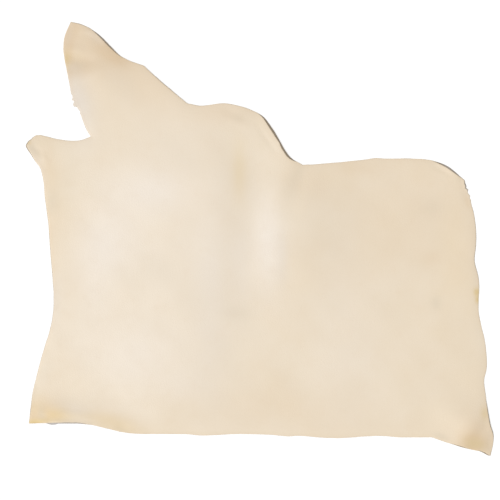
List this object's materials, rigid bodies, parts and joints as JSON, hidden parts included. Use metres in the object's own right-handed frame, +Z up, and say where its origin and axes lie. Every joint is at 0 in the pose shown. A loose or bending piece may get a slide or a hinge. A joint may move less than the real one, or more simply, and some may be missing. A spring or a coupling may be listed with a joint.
{
  "type": "leather shoulder",
  "caption": "Single shoulder of natural vegetable-tanned cattle leather lying flat, grain side up, with one foreleg flap, softly rolled edges and a raw cut outline.",
  "frame": {"origin": "middle of the hide's box in plan, on the surface that the hide lies on", "axes": "+X along the backbone cut from the neck to the bend, +Y from the backbone cut towards the foreleg, +Z up out of the grain side"},
  "size_m": [1.0296, 0.954, 0.0137],
  "materials": {
    "natural_leather": "undyed satin grain with a raw edge and a suede flesh side"
  },
  "bodies": {
    "root": {"shoulder": "natural_leather"}
  },
  "joints": []
}
